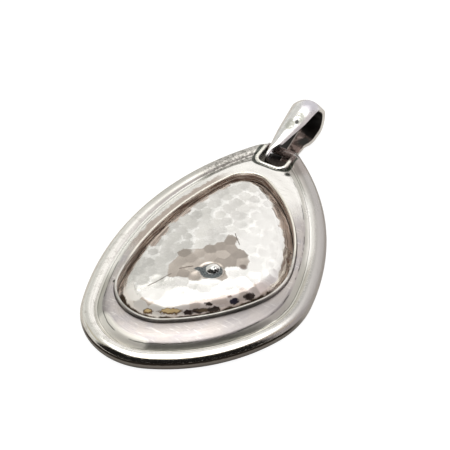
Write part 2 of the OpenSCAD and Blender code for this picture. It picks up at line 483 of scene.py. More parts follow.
def border(piece):
    """True for each vertex on an open edge."""
    edit_mode()
    bpy.ops.mesh.select_mode(type="VERT")
    bpy.ops.mesh.select_all(action="DESELECT")
    bpy.ops.mesh.select_non_manifold(extend=False)
    object_mode()
    flags = np.empty(len(piece.data.vertices), bool)
    piece.data.vertices.foreach_get("select", flags)
    return flags


def report(piece):
    print(piece.name + ":", len(piece.data.polygons), "faces, open edges:", int(border(piece).sum()))


only(rim)
bezel.select_set(True)
bpy.ops.object.join()
body = rim
open_edge = border(body)
height = coordinates(body)[:, 2]
select_vertices(body, open_edge & (height > 1))
bpy.ops.mesh.bridge_edge_loops(number_cuts=BAND_CUTS, interpolation="LINEAR")
object_mode()
for level_z in (0, BACK_T):
    open_edge = border(body)
    height = coordinates(body)[:, 2]
    select_vertices(body, open_edge & (abs(height - level_z) < 0.01))
    bpy.ops.mesh.edge_face_add()
    object_mode()

points = coordinates(body)
for i, (x, y, z) in enumerate(points):
    inset = -away(x, y, frame_arcs)
    out = away(x, y, bezel_arcs)
    if z < 1 or inset < RIM_R or out < CREASE + 0.01:
        continue
    nearness = -photo_up @ (x, y)
    floor_z = float(np.interp(nearness, FALL, (SHALLOW_Z, GROOVE_Z)))
    if inset > groove_at + 0.005:
        crown_z = BAND_Z - BAND_ROUND + math.sqrt(BAND_ROUND ** 2 - out ** 2)
        up_share = 1 - max(0, 1 - (inset - groove_at) / SHOULDER) ** SHOULDER_CURVE
        points[i, 2] = floor_z + (crown_z - floor_z) * up_share
    else:
        points[i, 2] = max(z, floor_z)
set_coordinates(body, points)
report(body)

# %% [markdown]
# The bail hangs through a hole at the tip. The hole is sawn out, so here a block with two
# rounded corners is subtracted. A bent wire is soldered round its lower edge, and the bridge of
# metal that the bail hangs on is a short bar across the cut.

# %% Bail hole
HOLE_W = 4.7
HOLE_Y0 = 20.6
HOLE_ROUND = 1.2
SAW_H = 8
SAW_Z = 1
TIP_Y = 26.5
BAR_R = 0.7
BAR_Y = TIP_Y - RIM_R
BAR_Z = 1.7
BAR_SEAT = 0.3


def add_modifier(piece, kind, **settings):
    """Adds a modifier and applies it at once."""
    only(piece)
    modifier = piece.modifiers.new(kind.lower(), kind)
    for name, value in settings.items():
        setattr(modifier, name, value)
    bpy.ops.object.modifier_apply(modifier=modifier.name)


def combine(piece, other, operation):
    """Cuts or fuses another closed piece and removes it."""
    add_modifier(piece, "BOOLEAN", object=other, operation=operation, solver="EXACT")
    bpy.data.objects.remove(other)


def outward(piece):
    """Makes all faces of a closed piece point outwards."""
    only(piece)
    edit_mode()
    select_every_point()
    bpy.ops.mesh.normals_make_consistent(inside=False)
    object_mode()


outward(body)
far_y = TIP_Y + 1
bpy.ops.mesh.primitive_cube_add(size=1)
saw = bpy.context.object
edit_mode()
saw_y = (far_y + HOLE_Y0) / 2
bpy.ops.transform.resize(value=(HOLE_W * MM, (far_y - HOLE_Y0) * MM, SAW_H * MM))
bpy.ops.transform.translate(value=(0, saw_y * MM, SAW_Z * MM))
bpy.ops.mesh.select_mode(type="EDGE")
bpy.ops.mesh.select_all(action="DESELECT")
object_mode()
for edge in saw.data.edges:
    a, b = (saw.data.vertices[k].co for k in edge.vertices)
    upright = abs(a.z - b.z) > SAW_H / 2 * MM
    edge.select = upright and a.y < saw_y * MM
edit_mode()
bpy.ops.mesh.bevel(offset=HOLE_ROUND * MM, segments=8)
object_mode()
combine(body, saw, "DIFFERENCE")
report(body)

# %% Collar wire and bar
COLLAR_D = 0.7
COLLAR_Z = 2.4
COLLAR_END_Y = 24.2
COLLAR_LAP = 0.08


def bent_wire(name, start, turns, end, radius):
    """A round wire of straights and quarter bends. A turn is (where it begins, its centre)."""
    start_piece(name, start)
    here = start
    for begin, centre in turns:
        extrude_along([here, begin])
        bpy.ops.mesh.spin(steps=8, angle=math.pi / 2, center=centre, axis=(0, 0, -1))
        here = centre + Vector((-(begin - centre).y, (begin - centre).x, 0))
    extrude_along([here, end])
    object_mode()
    bpy.ops.object.convert(target="CURVE")
    wire = bpy.context.object
    wire.data.bevel_depth = radius
    wire.data.bevel_resolution = 5
    wire.data.use_fill_caps = True
    bpy.ops.object.convert(target="MESH")
    return bpy.context.object


aside = COLLAR_D / 2 - COLLAR_LAP
leg_x = HOLE_W / 2 + aside
bend_r = HOLE_ROUND + aside
foot_y = HOLE_Y0 - aside
bend_y = foot_y + bend_r
bend_x = leg_x - bend_r


def on_collar(x, y):
    return Vector((x, y, COLLAR_Z)) * MM


bends = [
    (on_collar(-leg_x, bend_y), on_collar(-bend_x, bend_y)),
    (on_collar(bend_x, foot_y), on_collar(bend_x, bend_y)),
]
collar_ends = on_collar(-leg_x, COLLAR_END_Y), on_collar(leg_x, COLLAR_END_Y)
collar = bent_wire("collar", collar_ends[0], bends, collar_ends[1], COLLAR_D / 2 * MM)
outward(collar)
combine(body, collar, "UNION")
bar_length = HOLE_W + 2 * BAR_SEAT
bpy.ops.mesh.primitive_cylinder_add(vertices=48, radius=BAR_R * MM, depth=bar_length * MM)
bar = bpy.context.object
edit_mode()
bpy.ops.transform.rotate(value=math.pi / 2, orient_axis="Y", center_override=(0, 0, 0))
bpy.ops.transform.translate(value=(0, BAR_Y * MM, BAR_Z * MM))
object_mode()
combine(body, bar, "UNION")
report(body)

# %% [markdown]
# The plate is one sheet that was domed and then hammered. The outline is spun as a single
# vertex, and ring after ring is extruded and shrunk towards the middle, steep behind the bezel
# and nearly flat on top. The hammer's dents could be a bump texture, but they change the
# plate's edge and its reflections, so they are pressed into the mesh: each blow is a shallow
# ball-shaped hollow, and where two hollows meet they leave a soft ridge.

# %% Domed plate
PLATE_INSET = 0.55
PLATE_UNDER_Z = 0.75
PLATE_EDGE_Z = 1.9
PLATE_TOP_Z = 5.0
PLATE_MIDDLE = Vector((2.2, -2.5))
PLATE_STEPS = 52
# The steep edge: its share of the way in, and its share of the rise
STEEP_TO = 0.18
STEEP_RISE = 0.72
# Rings: finer ones up to a share of the way in, then even ones nearly to the middle
EDGE_RINGS = 22
EDGE_SHARE = 0.22
TOP_RINGS = 58
TOP_SHARE = 0.765


def crown(share):
    """Share of the plate's rise at a share of the way in."""
    steep = 1 - (1 - min(share / STEEP_TO, 1)) ** 2
    return STEEP_RISE * steep + (1 - STEEP_RISE) * (1 - (1 - share) ** 2)


start = place(bezel_arcs, PLATE_INSET, PLATE_UNDER_Z)
plate = start_piece("hammered_plate", start)
spin_round(bezel_arcs, PLATE_STEPS)
select_every_point()
lift(PLATE_EDGE_Z - PLATE_UNDER_Z)
shares = [EDGE_SHARE * (k / EDGE_RINGS) ** 1.15 for k in range(EDGE_RINGS + 1)]
shares += [EDGE_SHARE + TOP_SHARE * k / TOP_RINGS for k in range(1, TOP_RINGS + 1)]
pivot = (PLATE_MIDDLE.x * MM, PLATE_MIDDLE.y * MM, 0)
for before, share in zip(shares, shares[1:]):
    lift((PLATE_TOP_Z - PLATE_EDGE_Z) * (crown(share) - crown(before)))
    shrink = (1 - share) / (1 - before)
    bpy.ops.transform.resize(value=(shrink, shrink, 1), center_override=pivot)
bpy.ops.mesh.merge(type="CENTER")
object_mode()
select_vertices(plate, border(plate))
bpy.ops.mesh.edge_face_add()
object_mode()
outward(plate)
report(plate)

# %% Hammer blows
BLOW_GAP = 1.55
# Radius of the hammer's face, smallest and largest, how far a light blow stays higher, and how
# softly two hollows meet
BLOW_ROUND = (7, 22)
BLOW_LIFT = 0.03
BLOW_SOFT = 0.006
# Highest ridge at the plate's edge and further in
BLOW_CAP = (0.26, 0.1)
# A slow swell under the blows, its width, and a dip of the plate's far edge
SWELL = 0.16
SWELL_SIZE = 4.5
FAR_DIP = 0.25
random.seed(7)


def normals(piece):
    n = np.empty(len(piece.data.vertices) * 3)
    piece.data.vertices.foreach_get("normal", n)
    return n.reshape(-1, 3)


def scattered(points, gap, allowed):
    """Picks points at random that lie at least gap from each other."""
    order = list(np.flatnonzero(allowed))
    random.shuffle(order)
    kept = []
    free = allowed.copy()
    for i in order:
        if free[i]:
            kept.append(i)
            free &= ((points - points[i]) ** 2).sum(1) > gap ** 2
    return kept


points = coordinates(plate)
facing_out = normals(plate)
top_side = points[:, 2] > PLATE_EDGE_Z + 0.1
blows = scattered(points, BLOW_GAP, top_side)
hollows = np.zeros(len(points))
to_edge = np.array([-away(x, y, bezel_arcs) for x, y, z in points])
for i in blows:
    # Blows by the edge are smaller
    round_r = random.uniform(*BLOW_ROUND) * np.interp(to_edge[i], (0.8, 4), (0.28, 1))
    higher = random.uniform(0, BLOW_LIFT)
    far = ((points - points[i]) ** 2).sum(1) / (2 * round_r) + higher
    hollows += np.exp(-far / BLOW_SOFT)
cap = np.interp(to_edge, (0.8, 3), BLOW_CAP)
depth = np.minimum(-BLOW_SOFT * np.log(hollows + 1e-12), cap)
depth[~top_side] = 0
# The swell fades out towards the edge, and the dip towards the middle and the near side
swell = np.array([noise.noise(Vector(p) / SWELL_SIZE) for p in points]) * SWELL
inner = np.clip(to_edge / 3 - 0.4, 0, 1)
far_way = points[:, :2] @ photo_up
at_far_edge = np.clip(1 - (to_edge - 0.5) / 2.2, 0, 1) * np.clip((far_way - 1) / 6, 0, 1)
points[:, 2] -= FAR_DIP * at_far_edge * top_side
moved = points + facing_out * (depth - cap + swell * inner)[:, None] * top_side[:, None]
set_coordinates(plate, moved)
print("plate:", len(blows), "blows, ridges up to", round(float(depth.max()), 3), "mm high")

# %% [markdown]
# Near the middle of the plate the maker left a small knob that stands in a hollow of its own.
# It is too small to be worth a piece, and it is one with the plate. So the same points are
# moved once more: down in a round moat, and up again in its middle.

# %% Knob in its hollow
KNOB = Vector((5.1, -6.4))
MOAT_R = 1.8
MOAT_DEPTH = 0.55
MOAT_SHIFT = (-0.2, -0.55)
KNOB_R = 1.05
KNOB_RISE = 0.68
# Sideways distances count for less, so the knob and its moat are longer that way
KNOB_SQUEEZE = 0.8


def soft_disc(far, radius):
    """1 in the middle of a disc and 0 outside it, with a smooth slope."""
    return np.clip(1 - (far / radius) ** 2, 0, 1) ** 1.5


points = coordinates(plate)
on_top = points[:, 2] > PLATE_EDGE_Z + 0.5
sideways = (points[:, :2] - KNOB) @ photo_right * KNOB_SQUEEZE
lengthways = (points[:, :2] - KNOB) @ photo_up
from_knob = np.hypot(sideways, lengthways)
from_moat = np.hypot(sideways - MOAT_SHIFT[0], lengthways - MOAT_SHIFT[1])
moat = soft_disc(from_moat, MOAT_R) * on_top
knob = soft_disc(from_knob, KNOB_R) * on_top
points[:, 2] += KNOB_RISE * knob - MOAT_DEPTH * moat
set_coordinates(plate, points)
print("knob: top at", round(float(points[on_top & (from_knob < 0.3), 2].max()), 2), "mm")

# %% [markdown]
# The bail is one strip of sheet, folded over and narrowed towards its foot like a leaf. The
# side view is two rounds joined by straight legs, so one point is spun and extruded along it.
# That line is then extruded across the width and narrowed by its place along the leg. Solidify
# gives it its thickness, thinner towards the foot, and Bevel breaks its sharp edges.

# %% Side of the bail
SMALL_ROUND = (23.0, 1.85, 1.65)
LARGE_ROUND = (33.3, 3.15, 2.9)
LEG_STEPS = 24


def on_round(circle, angle):
    """A point of the loop's side view; a circle is (along, height, radius) in millimetres."""
    along, height, radius = circle
    return Vector((0, along + radius * math.cos(angle), height + radius * math.sin(angle))) * MM


def leg(start, end):
    """Extrudes a straight leg in equal steps."""
    extrude_along([start.lerp(end, k / LEG_STEPS) for k in range(LEG_STEPS + 1)])


apart = Vector(LARGE_ROUND[:2]) - Vector(SMALL_ROUND[:2])
spread = math.acos((SMALL_ROUND[2] - LARGE_ROUND[2]) / apart.length)
front_side = direction(apart) + spread
back_side = direction(apart) - spread
bail = start_piece("folded_bail", on_round(SMALL_ROUND, back_side))
for circle, first, last, steps in (
    (SMALL_ROUND, back_side, front_side, 20),
    (LARGE_ROUND, front_side, back_side, 36),
):
    middle = Vector((0, circle[0], circle[1])) * MM
    bpy.ops.mesh.spin(steps=steps, angle=(first - last) % math.tau, center=middle, axis=(1, 0, 0))
    other = LARGE_ROUND if circle is SMALL_ROUND else SMALL_ROUND
    leg(on_round(circle, last), on_round(other, last))
select_every_point()
bpy.ops.mesh.remove_doubles(threshold=SEAM * MM)
print("side of the bail: two rounds and two legs of", LEG_STEPS, "steps")

# %% Width, thickness and edges of the strip
WIDTH_STEPS = 16
# Distance of each edge from the middle line, by the place along the leg. The front leg's right
# edge is cut away towards the foot. The back leg's is narrow where it swings through the hole.
LEFT_EDGE = [(21.3, 1.32), (23, 1.45), (25, 1.65), (27.5, 1.95), (31, 2.1), (33.3, 2.2), (36.2, 2.1)]
FRONT_RIGHT_EDGE = [
    (21.3, -0.75), (22.8, -0.7), (23.6, -0.35), (24.5, 0.2),
    (27.6, 1.1), (30, 1.8), (33.3, 2.4), (36.2, 2.5),
]
BACK_RIGHT_EDGE = [
    (21.3, 1.32), (24.6, 1.4), (26.6, 1.9), (29.1, 2.05),
    (30, 2.6), (31, 2.8), (33.3, 2.7), (36.2, 2.5),
]
# Thickness at the foot and at the top, and the places along the leg between which it grows
STRIP_T = (0.38, 0.75)
THICKEN = (22, 33)
LEGS_APART = 2.4
# How far the edges stand back: on the front leg's foot, by the place along the back leg, and
# by the angle round the top
FOOT_CROWN = 0.3
BACK_CROWN = [(27.5, 0), (31, 0.22)]
ROUND_CROWN = [(-90, 0.22), (0, 0.4), (40, 0.95), (104, 1.1)]
STRIP_WAVE = 0.03
WAVES_PER_MM = 0.55
EDGE_BREAK = 0.12
BAIL_LEAN = math.radians(5)

select_every_point()
bpy.ops.transform.translate(value=(-MM, 0, 0))
for _ in range(WIDTH_STEPS):
    bpy.ops.mesh.extrude_region_move(TRANSFORM_OT_translate={"value": (2 * MM / WIDTH_STEPS, 0, 0)})
object_mode()
points = coordinates(bail)
across = points[:, 0].copy()
along = points[:, 1]
axis_z = SMALL_ROUND[1] + (along - SMALL_ROUND[0]) * apart.y / apart.x
centre_y = np.clip(along, SMALL_ROUND[0], LARGE_ROUND[0])
outwards = np.stack([np.zeros(len(points)), along - centre_y, points[:, 2] - axis_z], 1)
outwards /= np.linalg.norm(outwards, axis=1)[:, None]
front_share = np.clip(0.5 + (points[:, 2] - axis_z) / LEGS_APART, 0, 1)
left_edge = np.interp(along, *zip(*LEFT_EDGE))
front_right = np.interp(along, *zip(*FRONT_RIGHT_EDGE))
back_right = np.interp(along, *zip(*BACK_RIGHT_EDGE))
right_edge = back_right + (front_right - back_right) * front_share
points[:, 0] = -left_edge + (across + 1) / 2 * (left_edge + right_edge)
share = np.clip((along - THICKEN[0]) / (THICKEN[1] - THICKEN[0]), 0, 1)
turn = np.degrees(np.arctan2(points[:, 2] - LARGE_ROUND[1], along - LARGE_ROUND[0]))
round_crown = np.interp(turn, *zip(*ROUND_CROWN))
back_crown = np.interp(along, *zip(*BACK_CROWN))
front_crown = FOOT_CROWN + (ROUND_CROWN[-1][1] - FOOT_CROWN) * share
leg_crown = back_crown + (front_crown - back_crown) * front_share
crown_rise = np.where(along > LARGE_ROUND[0], round_crown, leg_crown)
wave = np.array([noise.noise(Vector(p) * WAVES_PER_MM) for p in points])
points -= outwards * (crown_rise * abs(across) ** 2.2 + STRIP_WAVE * (1 + wave))[:, None]
set_coordinates(bail, points)

thin, thick = STRIP_T
group = bail.vertex_groups.new(name="thickness")
for i, value in enumerate((thin + (thick - thin) * share) / thick):
    group.add([i], float(value), "REPLACE")
if (normals(bail) * outwards).sum() < 0:
    edit_mode()
    select_every_point()
    bpy.ops.mesh.flip_normals()
    object_mode()
bail.vertex_groups.new(name="inner")
groups = {"vertex_group": "thickness", "shell_vertex_group": "inner"}
add_modifier(bail, "SOLIDIFY", thickness=thick * MM, offset=-1, **groups)
sharp = {"limit_method": "ANGLE", "angle_limit": math.radians(50)}
add_modifier(bail, "BEVEL", width=EDGE_BREAK * MM, segments=3, **sharp)
edit_mode()
select_every_point()
bpy.ops.transform.rotate(value=BAIL_LEAN, orient_axis="Y", center_override=(0, BAR_Y * MM, BAR_Z * MM))
object_mode()
report(bail)

# %% [markdown]
# Tarnish, wear and painted shade follow the shape: dirt and painted shade sit in the corners, and
# hands polish what stands proud. So each point of a mesh is given a few numbers, such as its distance
# from the rim, and the finishes read them as attributes. That keeps the dark paint in its corner from
# every side.

# %% Numbers for the finishes
# A painted beige reflection on the plate, as corners in millimetres
BEIGE_REFLECTION = [(-1.4, -9.6), (0.1, -4.6), (4.4, 1.8), (7.6, -1.2), (9.4, -4), (5.5, -8.8), (-0.3, -12.7)]
# The browned far edge: places to the photograph's right, and how far in it reaches there
FAR_BROWN = ((-4, 8), (3.0, 1.8))
FAR_BROWN_FROM = -3
# The number for places past the collar's ends, where its dirt must not reach
BEYOND_COLLAR = 9


def give(piece, name, values):
    """Stores one number per point of a mesh under a name."""
    layer = piece.data.attributes.new(name, "FLOAT", "POINT")
    layer.data.foreach_set("value", np.asarray(values, np.float32))


points = coordinates(body)
give(body, "inset", [-away(x, y, frame_arcs) for x, y, z in points])
give(body, "outside", [away(x, y, bezel_arcs) for x, y, z in points])


def past_collar(x, y):
    """How far a point lies outside the middle line of the collar wire, in millimetres."""
    x = abs(x)
    if y > COLLAR_END_Y + COLLAR_D / 2:
        return BEYOND_COLLAR
    if y > bend_y:
        return x - leg_x
    if x < bend_x:
        return foot_y - y
    return math.hypot(x - bend_x, bend_y - y) - bend_r


give(body, "past_collar", [past_collar(x, y) for x, y, z in points])
points = coordinates(plate)
blow_places = moved[blows][:, :2]
nearest = ((points[:, None, :2] - blow_places) ** 2).sum(2).argmin(1)
tones = np.array([random.random() for _ in blows])
give(plate, "tone", tones[nearest])


def within(corners, x, y):
    """True for a point inside a shape given by its corners."""
    inside = False
    for (x0, y0), (x1, y1) in zip(corners, corners[1:] + corners[:1]):
        if (y0 > y) != (y1 > y) and x < x0 + (y - y0) / (y1 - y0) * (x1 - x0):
            inside = not inside
    return inside


# Blows inside the painted beige reflection
in_beige_reflection = np.array([within(BEIGE_REFLECTION, x, y) for x, y in blow_places], float)
give(plate, "beige_reflection", in_beige_reflection[nearest])
browned = to_edge[blows] < np.interp(blow_places @ photo_right, *FAR_BROWN)
browned &= blow_places @ photo_up > FAR_BROWN_FROM
give(plate, "far_brown", browned[nearest].astype(float))
give(plate, "ridge", depth / cap)
give(plate, "moat", moat)
give(plate, "knob", knob)
give(plate, "from_edge", [-away(x, y, bezel_arcs) - PLATE_INSET for x, y, z in points])

inner_group = bail.vertex_groups["inner"].index
inner_share = [sum(g.weight for g in v.groups if g.group == inner_group) for v in bail.data.vertices]
give(bail, "inner_side", inner_share)
print("bail: inner points", sum(v > 0.5 for v in inner_share), "of", len(inner_share))

# %% [markdown]
# All three finishes start from the same metal: a Principled shader that is fully metallic. The
# small helpers below read a number, draw a noise or a scratch at a real size, and lay coats of
# colour, so that each finish can be read as a list of coats, from the bare silver up to the dirt
# and the painted light and shade. All places, sizes and distances are in millimetres, and a share
# runs from 0 to 1.

# %% Helpers for the finishes
BUMP_DEPTH = 0.02
SMOOTH_UP_TO = math.radians(35)


def new_finish(name):
    """A metallic material, and the place in millimetres that its nodes read."""
    material = new_material(name)
    tree.nodes["Principled BSDF"].inputs["Metallic"].default_value = 1
    return material, scaled(add_node("TexCoord", result="Object"), (1 / MM, 1 / MM, 1 / MM))


def turned(vector):
    """The same place on axes that are turned with the photograph: X to its right, Y up it."""
    return scaled(vector, (1, 1, 1), (0, 0, -math.degrees(VIEW_TURN)))


def number(name):
    """Reads one of the numbers that the mesh carries."""
    return add_node("Attribute", result="Fac", attribute_name=name)


def noise_at(vector, per_mm, detail=3, roughness=0.55):
    """A noise from about 0.3 to 0.7 whose lumps have a real size."""
    inputs = {"Vector": vector, "Scale": per_mm, "Detail": detail, "Roughness": roughness}
    return add_node("TexNoise", inputs)


def uneven(vector, edge, amount, per_mm=1.5):
    """Shifts a distance by a noise, so that its limit wanders."""
    return plus(edge, times(minus(noise_at(vector, per_mm), 0.5), amount))


def near(value, middle, width):
    """1 where a value is at the middle, falling to 0 at that width on both sides."""
    return ramp(maths("ABSOLUTE", minus(value, middle)), 0, width, 1, 0)


def spot(at, place, size, blur=0.4, ragged=0):
    """1 in a lens-shaped spot round a place, 0 outside."""
    off = add_node("VectorMath", {0: at, 1: place}, operation="SUBTRACT")
    reach = length(scaled(off, [1 / s for s in size]))
    if ragged:
        reach = uneven(at, reach, ragged, 2.2)
    return ramp(reach, 1 - blur, 1 + blur, 1, 0)


def stroke(at, first, last, width):
    """1 along a straight line between two places, seen from above, 0 beside it."""
    first, last = Vector(first), Vector(last)
    way = (last - first).normalized()
    half = (last - first).length / 2
    x, y = (minus(value, begin) for value, begin in zip(axes(at, "XY"), first))
    beside = plus(times(x, -way.y), times(y, way.x))
    along = plus(times(x, way.x), times(y, way.y))
    in_line = near(uneven(at, beside, width * 2, 1.3), 0, width)
    return times(in_line, ramp(maths("ABSOLUTE", minus(along, half)), half, half * 0.8))


def scratches(at, turn, per_mm, thin=0.62):
    """Fine straight scratches: a noise that is drawn out along one direction."""
    drawn = scaled(at, (0.12, 1, 1), (0, 0, turn))
    return ramp(noise_at(drawn, per_mm, 2), thin, thin + 0.08)


def along_the_line(vector, distance, per_mm):
    """A noise whose streaks follow the outline: it changes fast with the distance from it."""
    x, y = axes(vector, "XY")
    drawn = add_node("CombineXYZ", {0: times(x, 0.06), 1: times(y, 0.06), 2: distance})
    return noise_at(drawn, per_mm, 4, 0.6)


def dress(piece, material, colour, non_metal_share, roughness, height, bump):
    """Links a finish, gives it to a piece and smooths all but the sharp edges. The non-metal share, of
    tarnish and of painted light and shade, is not metal.
    """
    relief = {"Strength": bump, "Distance": BUMP_DEPTH * MM, "Height": height}
    sockets = {
        "Base Color": colour,
        "Metallic": minus(1, non_metal_share),
        "Roughness": roughness,
        "Normal": add_node("Bump", relief),
    }
    for name, socket in sockets.items():
        tree.links.new(socket, tree.nodes["Principled BSDF"].inputs[name])
    piece.data.materials.clear()
    piece.data.materials.append(material)
    only(piece)
    bpy.ops.object.shade_smooth_by_angle(angle=SMOOTH_UP_TO)
    print(material.name, "has", len(tree.nodes), "nodes")


# %% [markdown]
# The frame is polished on the rim, satin on the band and painted black in the corners as shade. On
# the real pendant the band is lilac-grey with fine scratches. Low on its near side the rim carries
# painted reflections: a yellow line, then a black one, then the grey of the table. Painted dark lines
# of shade run round the groove and along the bezel's foot. Each share below says where a coat goes:
# inset is the distance in from the outline, outside is the distance out from the bezel, and nearness
# grows down the photograph.

# %% Rim and band: where the coats go
frame_finish, at = new_finish("frame_silver")
seen_x, seen_y = axes(turned(at), "XY")
across, along, height = axes(at)
nearness = times(seen_y, -1)
inset = number("inset")
outside = number("outside")
cloud = noise_at(at, 0.35, 4)
grain = noise_at(at, 5, 4, 0.65)
on_rim = ramp(inset, 2.35, 2.2)
on_band = ramp(inset, 3.3, 3.45)
on_top = ramp(height, 0.9, 1.2)
front = ramp(nearness, 9, 15)

round_grain = along_the_line(at, inset, 7)
wear = most(scratches(at, 25, 3.2), scratches(at, -50, 2.6))
# The upper left of the band is smoother, and its white is a painted sheen
polished_sheen = ramp(uneven(at, minus(along, across), 5, 0.3), -2, 8)
# Painted shade: the near side of the band darkens towards the groove
front_edge_shade = times(front, ramp(uneven(at, inset, 0.5), 4.9, 3.7))
near_right = times(front, ramp(seen_x, -1, 6))
satin = coats(
    mix(ramp(cloud, 0.4, 0.6), (0.45, 0.41, 0.395), (0.38, 0.355, 0.375)),
    (ramp(round_grain, 0.38, 0.62, 0, 0.6), (0.55, 0.515, 0.50)),
    (ramp(grain, 0.35, 0.7, 0, 0.35), (0.62, 0.59, 0.57)),
    (polished_sheen, (0.98, 0.97, 0.94), 0.92),
    (wear, (0.78, 0.76, 0.74), 0.5),
    (front_edge_shade, (0.27, 0.25, 0.25), 0.6),
    (near_right, (0.25, 0.235, 0.235), 0.55),
)

mottle = ramp(noise_at(at, 0.9, 5, 0.7), 0.5, 0.66)
upper = ramp(uneven(at, along, 6, 0.3), -2, 9)
dull_rim = mix(ramp(across, 4, -2), (0.78, 0.73, 0.71), (0.64, 0.63, 0.59))
to_right = times(ramp(seen_x, 7, 14), ramp(inset, 2.1, 1.4))
outer_side = times(ramp(inset, 1.45, 1.3), ramp(nearness, 14.5, 18.5))
# Painted reflections low on the near side of the rim: a yellow line, a black line of the dark table and
# the grey of the table
yellow_reflection = near(uneven(at, height, 0.08), 2.28, 0.14)
black_reflection = ramp(uneven(at, height, 0.1), 1.85, 1.75)
table_reflection = ramp(uneven(at, height, 0.15), 1.52, 1.4)
rim_silver = coats(
    (0.90, 0.885, 0.85),
    (mottle, (0.52, 0.49, 0.45), 0.4),
    (upper, dull_rim, 0.9),
    (to_right, (0.42, 0.405, 0.40), 0.85),
    (times(yellow_reflection, outer_side), (0.62, 0.56, 0.44), 0.8),
    (times(black_reflection, outer_side), (0.03, 0.025, 0.02)),
    (times(table_reflection, outer_side), (0.26, 0.245, 0.23)),
)
print("rim and band:", len(tree.nodes), "nodes so far")

# %% Groove: where the coats go
far_left = spot(at, (-5.4, 18, 2), (4, 6.5, 4))
mottled = times(far_left, on_top)
specks = ramp(noise_at(at, 2.2, 5, 0.7), 0.42, 0.6)
far_colour = mix(specks, (0.52, 0.50, 0.475), (0.13, 0.125, 0.11))
past_tip = spot(at, (4.7, 22.7, 2.2), (1.9, 2.1, 3), 0.5, 0.3)
# Painted light: the groove is painted pale low on the left, on the right and high on the left, where
# light fills it
low_left = times(near(inset, 3.3, 1.5), spot(at, (-1.6, -22.6, 2.1), (4.4, 3, 3), 0.35))
low_left = ramp(low_left, 0.1, 0.5)
groove_wander = uneven(at, inset, 0.4, 0.5)
lit_groove = times(near(groove_wander, 2.4, 1.0), spot(at, (12.5, 11, 2), (6, 9, 5), 0.4))
lit_groove = most(lit_groove, low_left)
white_groove = times(near(groove_wander, 3.0, 1.1), ramp(seen_x, 1, -2), ramp(nearness, 9, 4))
brown_crease = times(
    ramp(uneven(at, outside, 1.5, 0.7), 1.5, 1.1), ramp(seen_x, 5, 1), ramp(nearness, 4, -1), on_top,
)
# Painted shade: dark lines round the groove and at the band's edge; the dark green band deep in the
# near groove is a painted reflection
deep = times(ramp(nearness, 19.3, 20.6), ramp(across, 0.8, 2.4))
rim_line = times(near(uneven(at, inset, 0.12, 0.8), groove_at, 0.3), deep)
thin_line = times(near(uneven(at, inset, 0.15, 0.5), groove_at, 0.09), 0.75)
band_line = times(near(uneven(at, inset, 0.2, 0.7), 3.5, 0.1), ramp(noise_at(at, 0.25, 3), 0.45, 0.55))
far_line = times(near(uneven(at, inset, 0.3, 0.7), 3.45, 0.28), far_left)
groove_shade_lines = times(most(rim_line, thin_line, band_line, far_line), on_top)
# Painted shadow along the bezel's foot
crease = near(uneven(at, outside, 0.08, 0.9), 0.09, 0.12)
crease = times(crease, on_top, ramp(height, 3.3, 3.1))
print("groove:", len(tree.nodes), "nodes so far")

# %% Bezel, collar and bar: where the coats go
on_bezel = times(ramp(outside, 0.02, -0.04), on_top)
inner_wall = times(ramp(outside, -0.3, -0.36), ramp(height, BEZEL_Z - 0.08, BEZEL_Z - 0.2))
# A painted highlight along the bezel's top edge, painted reflections in cream and dark streaks on its
# inner wall, and painted shade low on that wall
top_edge_highlight = times(ramp(height, BEZEL_Z - 0.12, BEZEL_Z - 0.06), ramp(nearness, 6, 2))
streaks = ramp(along_the_line(at, height, 5), 0.42, 0.58)
wall_reflections = ramp(along_the_line(at, height, 3.6), 0.46, 0.54)
wall_shade = ramp(uneven(at, height, 0.6, 0.9), 2.2, 1.6, 0, 0.7)
wall_reflection_colour = mix(wall_reflections, (1.0, 0.94, 0.86), (0.30, 0.22, 0.185))
bezel_colour = coats(
    mix(streaks, (0.74, 0.72, 0.69), (0.50, 0.47, 0.44)),
    (front, (0.34, 0.35, 0.33), 0.6),
    (inner_wall, mix(wall_shade, wall_reflection_colour, (0.20, 0.15, 0.12))),
    (top_edge_highlight, (0.93, 0.90, 0.82)),
)

past = number("past_collar")
wire = times(near(past, 0, 0.42), ramp(height, 2.3, 2.45))
# Painted shadow: a dark outline round the collar wire
beyond = uneven(at, past, 0.15, 0.9)
wire_outline_shadow = times(ramp(beyond, 0.3, 0.38), ramp(beyond, 0.95, 0.75), on_top)
# Painted shade inside the hole, below the wire
shade_in_hole = times(ramp(past, -0.1, -0.25), ramp(height, 2.5, 2.3))
# The bar and the end of the collar's leg are painted darker brown
on_bar = times(ramp(maths("ABSOLUTE", across), 2.5, 2.3), ramp(along, 24.25, 24.45))
leg_end = times(ramp(across, 2.1, 2.3), ramp(along, 22.6, 23.2), ramp(past, 0.6, 0.4))
darker_parts = most(on_bar, leg_end)
bar_colour = mix(ramp(grain, 0.4, 0.6), (0.24, 0.18, 0.165), (0.08, 0.06, 0.055))
print("bezel, collar and bar:", len(tree.nodes), "nodes so far")

# %% Finish of the frame
DARK_GREEN = (0.035, 0.042, 0.03)
DARK_SPOT = (0.06, 0.065, 0.055)

